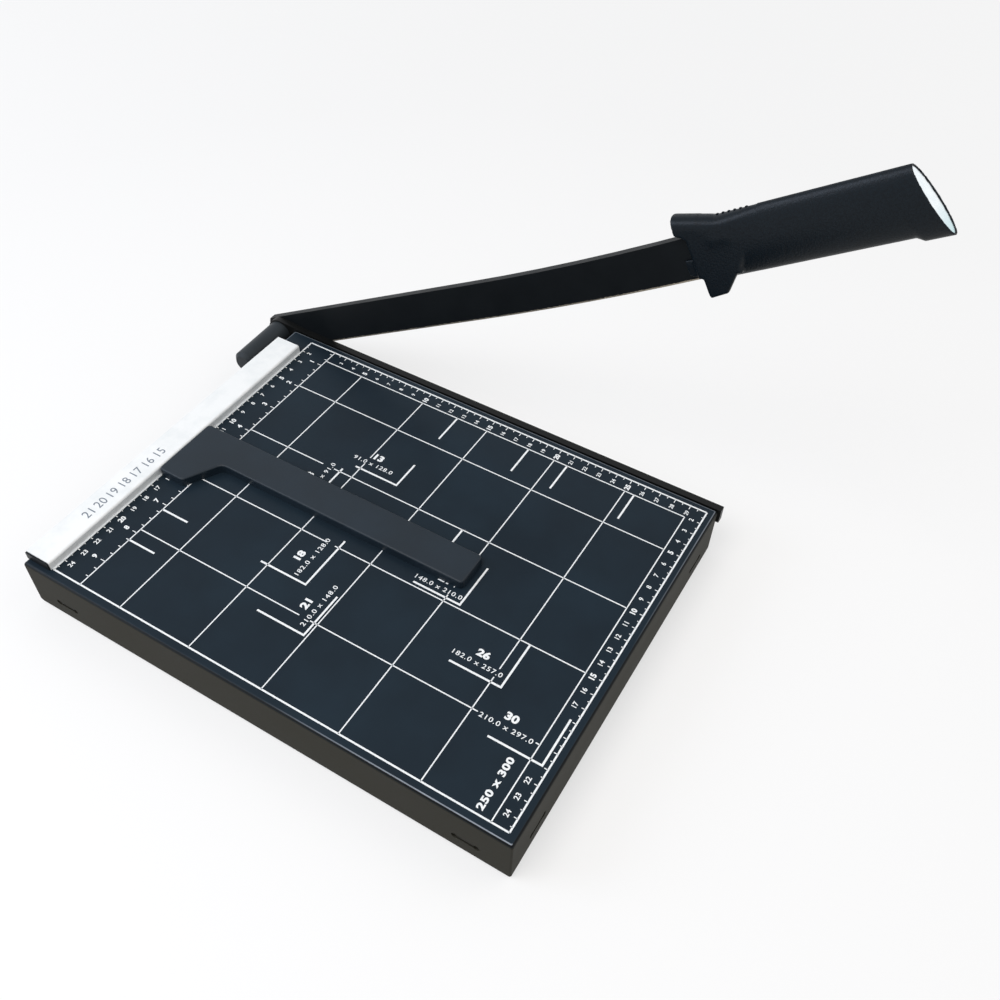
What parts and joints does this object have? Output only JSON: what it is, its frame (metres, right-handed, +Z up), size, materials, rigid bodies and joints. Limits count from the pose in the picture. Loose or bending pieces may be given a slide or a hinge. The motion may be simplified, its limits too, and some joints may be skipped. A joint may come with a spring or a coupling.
{
  "type": "guillotine paper cutter",
  "caption": "Table guillotine for paper: a folded sheet-metal base with a printed grid, a bed knife, a hinged blade arm with a moulded handle and a sliding T-shaped guide.",
  "frame": {"origin": "on the desk, under the middle of the cutter's outline with its arm raised as at rest", "axes": "+X along the cutting line from the pivot to the handle, +Y away from the operator, +Z up"},
  "size_m": [0.421, 0.2639, 0.279],
  "materials": {
    "base_paint": "satin black paint on folded steel sheet",
    "knife_paint": "black paint on steel bar, bare at the cutting edge",
    "zinc": "zinc-plated fasteners",
    "dark_plastic": "fine-grained black moulding",
    "guide_plastic": "glossy black moulding",
    "end_cap": "glossy white plate",
    "rule_white": "white printed strip",
    "rubber": "matt black rubber"
  },
  "bodies": {
    "base": {"base_tray": "base_paint", "bed_knife": "knife_paint", "bed_knife_nuts": "zinc", "bed_knife_screws": "zinc", "corner_block_far_left": "dark_plastic", "corner_block_far_right": "dark_plastic", "corner_block_near_left": "dark_plastic", "corner_block_near_right": "dark_plastic", "paper_rule": "base_paint", "pivot_bolt": "zinc", "pivot_head_washer": "zinc", "pivot_nut": "zinc", "pivot_spring": "zinc", "pivot_spring_washer": "zinc", "pivot_thrust_washer": "zinc", "rubber_foot_far_left": "rubber", "rubber_foot_far_right": "rubber", "rubber_foot_near_left": "rubber", "rubber_foot_near_right": "rubber", "rule_cover": "rule_white", "rule_screws": "zinc", "spring_sleeve": "dark_plastic"},
    "arm": {"cutting_arm": "knife_paint", "handle_near_half": "dark_plastic", "handle_far_half": "dark_plastic", "handle_screws": "zinc", "handle_end_cap": "end_cap"},
    "guide": {"paper_guide": "guide_plastic", "guide_magnets": "zinc"}
  },
  "joints": [
    {"name": "arm_hinge", "type": "hinge", "parent": "base", "child": "arm", "pos_m": [-0.1975, 0.1225, 0.0288], "axis": [0, -1, 0], "range_deg": [-26.9, 40]},
    {"name": "guide_slide", "type": "slide", "parent": "base", "child": "guide", "axis": [0, 1, 0], "range_m": [-0.085, 0.09]}
  ]
}
